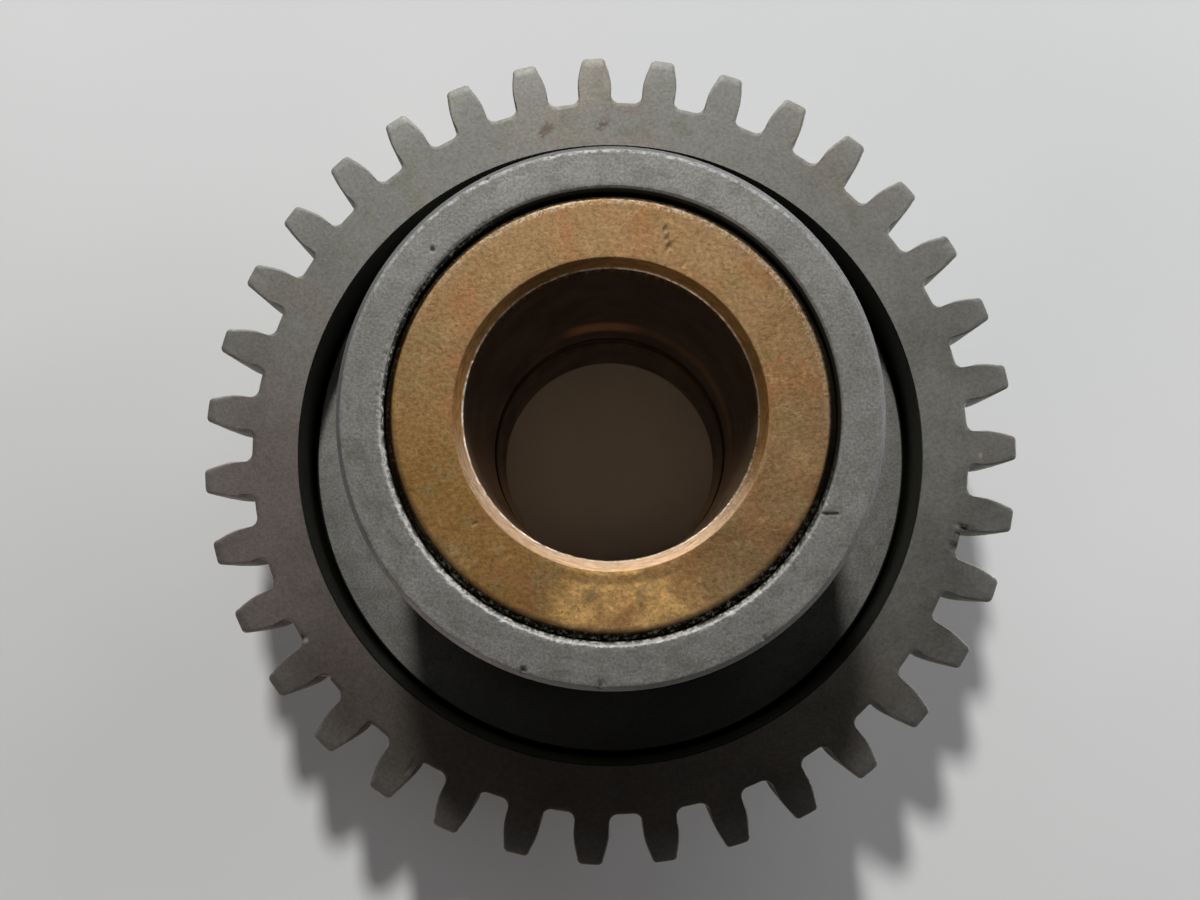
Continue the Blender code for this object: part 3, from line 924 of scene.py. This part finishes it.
def bore_colour(paint):
    """Painted shade over the bore, rubbed bright on the -Y side, with a painted copper highlight band above
    the joint.
    """
    # Painted shade on the bore's walls, except where they are rubbed bright.
    clouds = paint.noise(45, 2, 0.5)
    bore_shade = paint.ramp(clouds, (0.35, (0.082, 0.062, 0.048)), (0.65, (0.100, 0.072, 0.054)))
    rubbed = paint.facing(-90, -0.1, 0.6)
    colour = paint.mix(rubbed, bore_shade, (0.860, 0.630, 0.440))
    # A painted copper highlight band above the joint, brightest on the +Y side.
    band = paint.band(paint.height, LAND_FRONT + 7.5 * MM, LAND_FRONT + 9.5 * MM, 2.5 * MM)
    band_sheen = paint.product(band, paint.facing(55, 0.0, 0.95), 0.55)
    colour = paint.mix(band_sheen, colour, (0.520, 0.270, 0.150))
    band_highlight = paint.product(band, paint.facing(94, 0.93, 0.998))
    colour = paint.mix(band_highlight, colour, (0.900, 0.500, 0.290))
    deep = paint.span(paint.height, LAND_REAR - 1 * MM, LAND_REAR, 1.0, 0.0)
    green = paint.product(deep, paint.facing(90, -0.1, 0.4), 0.8)
    return paint.mix(green, colour, (0.060, 0.056, 0.042))


def bronze():
    """Grainy dull bronze, smoother at the bore's mouth, with painted shade and painted highlights round the
    mouth and the outer edge, painted shade in the joint, and painted shade with a painted highlight band
    inside.
    """
    paint = Paint("bronze_finish")
    clouds = paint.noise(160, 5, 0.65)
    colour = paint.ramp(clouds, (0.3, (0.285, 0.168, 0.074)), (0.5, (0.360, 0.228, 0.112)),
                        (0.7, (0.430, 0.285, 0.155)))
    low_side = paint.facing(-125, 0.2, 0.9)
    colour = paint.mix(paint.product(low_side, 0.7), colour, (0.355, 0.192, 0.052))
    patches = paint.span(paint.noise(650, 4, 0.65), 0.32, 0.62, 0.45, 1.0)
    golden = paint.product(paint.mark(21.2, -86, FRONT_BUSH_HIGH[2], 11), patches)
    colour = paint.mix(golden, colour, (0.900, 0.570, 0.230))
    brown = paint.band(paint.radius, 18.1 * MM, 18.7 * MM, 0.4 * MM)
    brown = paint.product(brown, paint.facing(-86, 0.8, 0.97), 0.65)
    colour = paint.mix(brown, colour, (0.300, 0.170, 0.060))
    ruddy = paint.span(paint.noise(150, 4, 0.6), 0.48, 0.64, 0.0, 0.75)
    colour = paint.mix(ruddy, colour, (0.375, 0.190, 0.085))
    olive = paint.span(paint.noise(310, 4, 0.6), 0.52, 0.66, 0.0, 0.6)
    colour = paint.mix(olive, colour, (0.300, 0.222, 0.098))
    pale = paint.span(paint.noise(480, 4, 0.65), 0.54, 0.68, 0.0, 0.45)
    colour = paint.mix(pale, colour, (0.500, 0.345, 0.165))
    grain = paint.noise(1900, 5, 0.75)
    colour = paint.mix(0.8, colour, paint.ramp(grain, (0.3, 0.55), (0.7, 1.4)), "MULTIPLY")
    specks = paint.span(paint.noise(1300, 3, 0.6), 0.62, 0.7, 0.0, 0.5)
    colour = paint.mix(specks, colour, (0.170, 0.100, 0.045))
    for radius, degrees, size in BUSH_PITS:
        pit = paint.product(paint.mark(radius, degrees, FRONT_BUSH_HIGH[2], size), 0.6)
        colour = paint.mix(pit, colour, (0.130, 0.100, 0.065))
    front = FRONT_BUSH_HIGH[2]
    rear = REAR_BUSH_LOW[2]
    front_end = paint.span(paint.height, front - 2.1 * MM, front - 2.0 * MM)
    rear_end = paint.span(paint.height, rear + 2.0 * MM, rear + 2.1 * MM, 1.0, 0.0)
    outer_ends = paint.maths("MAXIMUM", front_end, rear_end)
    rim = paint.span(paint.radius, BUSH_RADIUS - 0.85 * MM, BUSH_RADIUS - 0.6 * MM)
    rim = paint.product(outer_ends, rim)
    # Painted shade just inside the outer edge on the lower side, which faces away from the light.
    low_rim_shade = paint.product(paint.span(paint.radius, BUSH_RADIUS - 1.6 * MM, BUSH_RADIUS - 0.9 * MM),
                            paint.facing(-100, 0.0, 0.6), front_end, 0.75)
    colour = paint.mix(low_rim_shade, colour, (0.085, 0.056, 0.032))
    # Painted shade in the groove round the outer edge.
    colour = paint.mix(paint.product(rim, 0.9), colour, (0.040, 0.030, 0.022))
    # Painted highlight flecks near the outer edge on the side that faces the light.
    lit_rim_highlight = paint.band(paint.radius, BUSH_RADIUS - 1.2 * MM, BUSH_RADIUS - 0.75 * MM, 0.35 * MM)
    lit_rim_highlight = paint.product(lit_rim_highlight, paint.facing(75, 0.0, 0.7), paint.specks(2300, 0.42, 0.62),
                               front_end, 0.75)
    colour = paint.mix(lit_rim_highlight, colour, (0.620, 0.520, 0.400))
    red_rim = paint.product(rim, paint.facing(170, 0.1, 0.8), paint.specks(2300, 0.55, 0.66), 0.7)
    colour = paint.mix(red_rim, colour, (0.420, 0.260, 0.160))
    # Painted highlight flecks on the outer edge's lower side.
    lit_low_flecks = paint.product(rim, paint.facing(-85, 0.3, 0.8), paint.specks(1900, 0.5, 0.62))
    colour = paint.mix(lit_low_flecks, colour, (0.620, 0.600, 0.530))
    # Painted shade on the bush away from its outer end faces and bore, seen in the gap between the bushes.
    joint = paint.product(paint.maths("SUBTRACT", 1.0, outer_ends),
                          paint.span(paint.radius, SHAFT_BORE_RADIUS, SHAFT_BORE_RADIUS + 0.1 * MM))
    colour = paint.mix(joint, colour, (0.050, 0.036, 0.026))

    mouth_radius = SHAFT_BORE_RADIUS + BORE_CHAMFER_WIDTH
    chamfer = paint.span(paint.radius, mouth_radius - 0.15 * MM, mouth_radius + 0.1 * MM, 1.0, 0.0)
    chamfer = paint.product(chamfer, outer_ends)
    # The mouth's chamfer has painted shade on its upper side and a painted highlight on its lower side,
    # which faces the light.
    lit_chamfer_side = paint.facing(-95, 0.05, 0.6)
    chamfer_colour = paint.mix(lit_chamfer_side, (0.240, 0.126, 0.043), (0.370, 0.252, 0.160))
    streaks = paint.noise(1.0, 3, 0.7, paint.turned_place(3600, 10.0))
    chamfer_colour = paint.mix(0.8, chamfer_colour, paint.ramp(streaks, (0.3, 0.55), (0.7, 1.4)), "MULTIPLY")
    colour = paint.mix(chamfer, colour, chamfer_colour)
    lip = paint.span(paint.radius, SHAFT_BORE_RADIUS + 0.16 * MM, SHAFT_BORE_RADIUS + 0.3 * MM, 1.0, 0.0)
    lip = paint.product(lip, outer_ends)
    lip_flecks = paint.product(lip, paint.specks(900, 0.34, 0.6))
    colour = paint.mix(lip_flecks, colour, (0.520, 0.440, 0.340))
    inside_edge = SHAFT_BORE_RADIUS + 0.1 * MM
    inside = paint.span(paint.radius, SHAFT_BORE_RADIUS - 0.02 * MM, inside_edge, 1.0, 0.0)
    colour = paint.mix(inside, colour, bore_colour(paint))
    roughness = paint.span(clouds, 0.3, 0.7, 0.54, 0.66)
    smooth = paint.maths("MAXIMUM", paint.product(chamfer, 0.1), paint.product(lip_flecks, 0.25))
    smooth = paint.maths("MAXIMUM", smooth, paint.product(inside, 0.26))
    smooth = paint.maths("ADD", smooth, paint.product(inside, paint.facing(-90, 0.2, 0.8), 0.1))
    roughness = paint.maths("SUBTRACT", roughness, smooth)
    normal = paint.bump(grain, 0.5, 0.00009)
    rings = paint.noise(1.0, 2, 0.6, paint.turned_place(1500, 5.0))
    normal = paint.bump(rings, 0.1, 0.00004, normal)
    return paint.finish(colour, roughness, normal)


def bolt_steel():
    """Black oxide, rubbed bare in places."""
    paint = Paint("bolt_steel_finish")
    clouds = paint.noise(420, 4, 0.6)
    colour = paint.ramp(clouds, (0.35, (0.05, 0.05, 0.055)), (0.6, (0.10, 0.10, 0.105)),
                        (0.75, (0.22, 0.21, 0.20)))
    grain = paint.noise(3000, 3, 0.7)
    roughness = paint.span(clouds, 0.3, 0.7, 0.5, 0.34)
    return paint.finish(colour, roughness, paint.bump(grain, 0.3, 0.00005))


def dowel_steel():
    """Bright ground steel with faint finger marks."""
    paint = Paint("dowel_steel_finish")
    clouds = paint.noise(500, 4, 0.6)
    colour = paint.ramp(clouds, (0.3, (0.42, 0.42, 0.42)), (0.7, (0.58, 0.58, 0.57)))
    roughness = paint.span(clouds, 0.3, 0.7, 0.22, 0.36)
    return paint.finish(colour, roughness, paint.bump(paint.noise(4000, 3, 0.7), 0.2, 0.00003))


def paper():
    """White paper with a faint cloudiness."""
    paint = Paint("paper", metallic=0.0)
    clouds = paint.noise(9, 3, 0.5)
    colour = paint.ramp(clouds, (0.3, (0.715, 0.73, 0.74)), (0.7, (0.77, 0.785, 0.795)))
    roughness = paint.span(clouds, 0.3, 0.7, 0.75, 0.85)
    return paint.finish(colour, roughness, paint.bump(paint.noise(700, 3, 0.6), 0.1, 0.0001))


# ---------------- the object

# Each washer's split points another way
WASHER_TURN_STEP = math.radians(57)


def build_object():
    """All 22 pieces, each over its own CAD node."""
    ring = drill_fastener_holes(make_ring_mesh())
    add_piece(ring, ring_steel(), "gear", "toothed_ring")

    hub = drill_fastener_holes(make_hub_mesh())
    add_piece(hub, hub_steel(), "gear", "flanged_hub")

    brass = bronze()
    for name, low, high, segments, joint_in_front in (
        ("front_bush", FRONT_BUSH_LOW, FRONT_BUSH_HIGH, FRONT_BUSH_SEGMENTS, False),
        ("rear_bush", REAR_BUSH_LOW, REAR_BUSH_HIGH, REAR_BUSH_SEGMENTS, True),
    ):
        mesh = make_bush_mesh(f"{name}_finish", low[2], high[2], segments, joint_in_front)
        add_piece(mesh, brass, "bushes", name)

    black = bolt_steel()
    for number in range(1, BOLT_COUNT + 1):
        turn = 2 * math.pi * (number - 0.5) / BOLT_COUNT
        low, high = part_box(f"ring_bolt_{number}")
        mesh = make_bolt_mesh(low[2], high[2])
        place_fastener(mesh, turn, turn)
        add_piece(mesh, black, "gear", f"ring_bolt_{number}")
        low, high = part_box(f"spring_washer_{number}")
        mesh = make_washer_mesh(low[2], high[2])
        place_fastener(mesh, turn, turn + number * WASHER_TURN_STEP)
        add_piece(mesh, black, "gear", f"spring_washer_{number}")

    ground = dowel_steel()
    for number in range(1, DOWEL_COUNT + 1):
        low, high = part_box(f"dowel_pin_{number}")
        mesh = make_dowel_mesh(low[2], high[2])
        place_fastener(mesh, math.pi * (number - 1), 0.0)
        add_piece(mesh, ground, "gear", f"dowel_pin_{number}")


def place_fastener(mesh, turn, own_turn):
    """Moves a fastener's mesh to its place on the bolt circle."""
    cosine, sine = math.cos(own_turn), math.sin(own_turn)
    x = BOLT_CIRCLE_RADIUS * math.cos(turn)
    y = BOLT_CIRCLE_RADIUS * math.sin(turn)
    for vertex in mesh.vertices:
        px, py, pz = vertex.co
        vertex.co = (x + px * cosine - py * sine, y + px * sine + py * cosine, pz)


# ---------------- stage, light and camera

FLOOR_HALF_WIDTH = 0.9
FLOOR_GAP = 0.05 * MM


def add_floor():
    """A square sheet of paper just below the hub's rear end."""
    mesh = bpy.data.meshes.new("floor")
    half = FLOOR_HALF_WIDTH
    corners = [(-half, -half, 0), (half, -half, 0), (half, half, 0), (-half, half, 0)]
    mesh.from_pydata(corners, [], [(0, 1, 2, 3)])
    mesh.materials.append(paper())
    floor = bpy.data.objects.new("floor", mesh)
    floor.location.z = HUB_REAR - FLOOR_GAP
    bpy.context.scene.collection.objects.link(floor)


def add_light(name, direction, distance, width, height, power, colour):
    """A soft light, hidden from the camera, that looks at the gear. It is round if it has no height."""
    light = bpy.data.lights.new(name, "AREA")
    light.shape = "DISK" if height is None else "RECTANGLE"
    light.size = width
    if height is not None:
        light.size_y = height
    light.energy = power
    light.color = colour
    lamp = bpy.data.objects.new(name, light)
    away = Vector(direction).normalized()
    lamp.location = Vector((0.0, 0.0, RING_FRONT)) + away * distance
    lamp.rotation_mode = "QUATERNION"
    lamp.rotation_quaternion = away.to_track_quat("Z", "Y")
    lamp.visible_camera = False
    bpy.context.scene.collection.objects.link(lamp)


KEY_DIRECTION = (-0.102, 0.923, 1.0)
KEY_DISTANCE = 1.6
KEY_WIDTH = 0.17
KEY_POWER = 17.6
WINDOW_DISTANCE = 0.9
WINDOW_HEIGHT = 0.27
WINDOW_RISE = 0.13


def add_lights():
    """One compact key from behind the gear, low windows round it and a weak warm glow in front."""
    warm = (1.0, 0.985, 0.955)
    cool = (0.98, 0.99, 1.0)
    ruddy = (1.0, 0.82, 0.74)
    add_light("key", KEY_DIRECTION, KEY_DISTANCE, KEY_WIDTH, None, KEY_POWER, warm)
    for name, azimuth, width, power, colour in (
        ("right_window", 15, 0.7, 4.6, cool),
        ("back_window", 58, 0.5, 4.2, cool),
        ("left_window", 120, 0.5, 3.2, cool),
        ("front_glow", -128, 0.5, 2.1, ruddy),
    ):
        turn = math.radians(azimuth)
        direction = (math.cos(turn), math.sin(turn), WINDOW_RISE)
        add_light(name, direction, WINDOW_DISTANCE, width, WINDOW_HEIGHT, power, colour)


# The room's brightness by height: (height, value)
ROOM_STOPS = ((0.0, 0.58), (0.15, 0.4), (0.3, 0.12), (0.5, 0.01), (1.0, 0.0))


def add_world():
    """A pale room low down all round, dark overhead."""
    world = bpy.data.worlds.new("room")
    world.use_nodes = True
    tree = world.node_tree
    place = tree.nodes.new("ShaderNodeTexCoord")
    parts = tree.nodes.new("ShaderNodeSeparateXYZ")
    tree.links.new(place.outputs["Generated"], parts.inputs[0])
    ramp = tree.nodes.new("ShaderNodeValToRGB")
    tree.links.new(parts.outputs[2], ramp.inputs["Fac"])
    band = ramp.color_ramp.elements
    while len(band) < len(ROOM_STOPS):
        band.new(0.5)
    for element, (position, value) in zip(band, ROOM_STOPS):
        element.position = position
        element.color = (value * 0.98, value, value * 1.02, 1.0)
    tree.links.new(ramp.outputs["Color"], tree.nodes["Background"].inputs["Color"])
    bpy.context.scene.world = world


LENS = 36.5
SENSOR_WIDTH = 36.0
CAMERA_PLACE = (-0.35 * MM, -19.3 * MM, RING_FRONT + 165.3 * MM)
CAMERA_DEGREES = (6.50, 0.32, 0.2)


def add_camera():
    """Nearly straight above, a little towards the near side."""
    data = bpy.data.cameras.new("camera")
    data.lens = LENS
    data.sensor_width = SENSOR_WIDTH
    data.clip_start = 5 * MM
    camera = bpy.data.objects.new("camera", data)
    camera.location = CAMERA_PLACE
    camera.rotation_euler = [math.radians(degrees) for degrees in CAMERA_DEGREES]
    bpy.context.scene.collection.objects.link(camera)
    bpy.context.scene.camera = camera


bpy.context.scene.view_settings.view_transform = "Standard"
build_object()
add_floor()
add_lights()
add_world()
add_camera()
